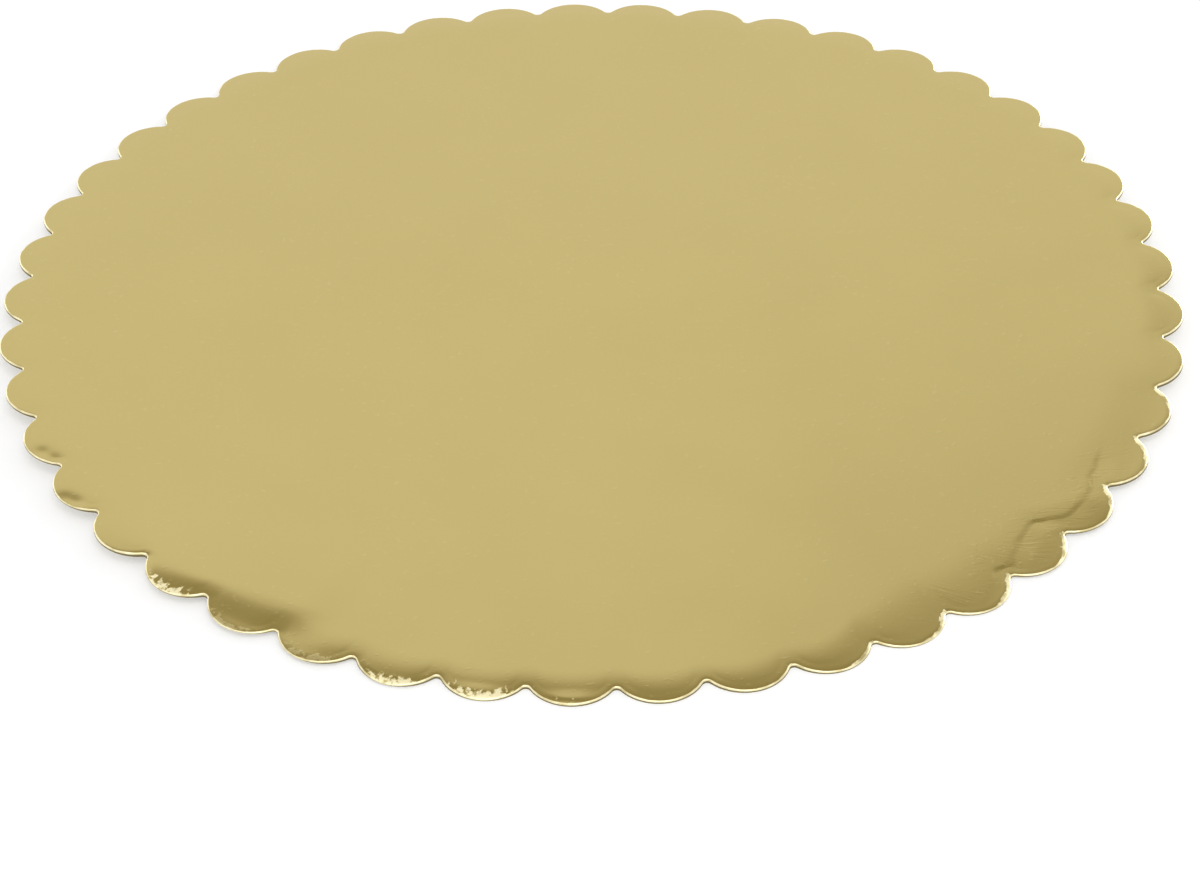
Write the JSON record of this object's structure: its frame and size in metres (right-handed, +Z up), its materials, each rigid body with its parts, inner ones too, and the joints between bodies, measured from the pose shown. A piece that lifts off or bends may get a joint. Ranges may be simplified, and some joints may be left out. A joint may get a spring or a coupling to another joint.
{
  "type": "cake board",
  "caption": "Round foil-faced paperboard cake board with a scalloped, die-cut rim and a slight curl, plain board underneath.",
  "frame": {"origin": "centre of the scallop circle on the flat middle strip of the underside, which lies on the table", "axes": "+Z up, out of the foil face; +X towards a lobe tip, along the direction in which the sheet curls up at both ends; the flat strip runs along Y"},
  "size_m": [0.3041, 0.3046, 0.0059],
  "materials": {
    "foil_board": "satin"
  },
  "bodies": {
    "root": {"cake_board": "foil_board"}
  },
  "joints": []
}
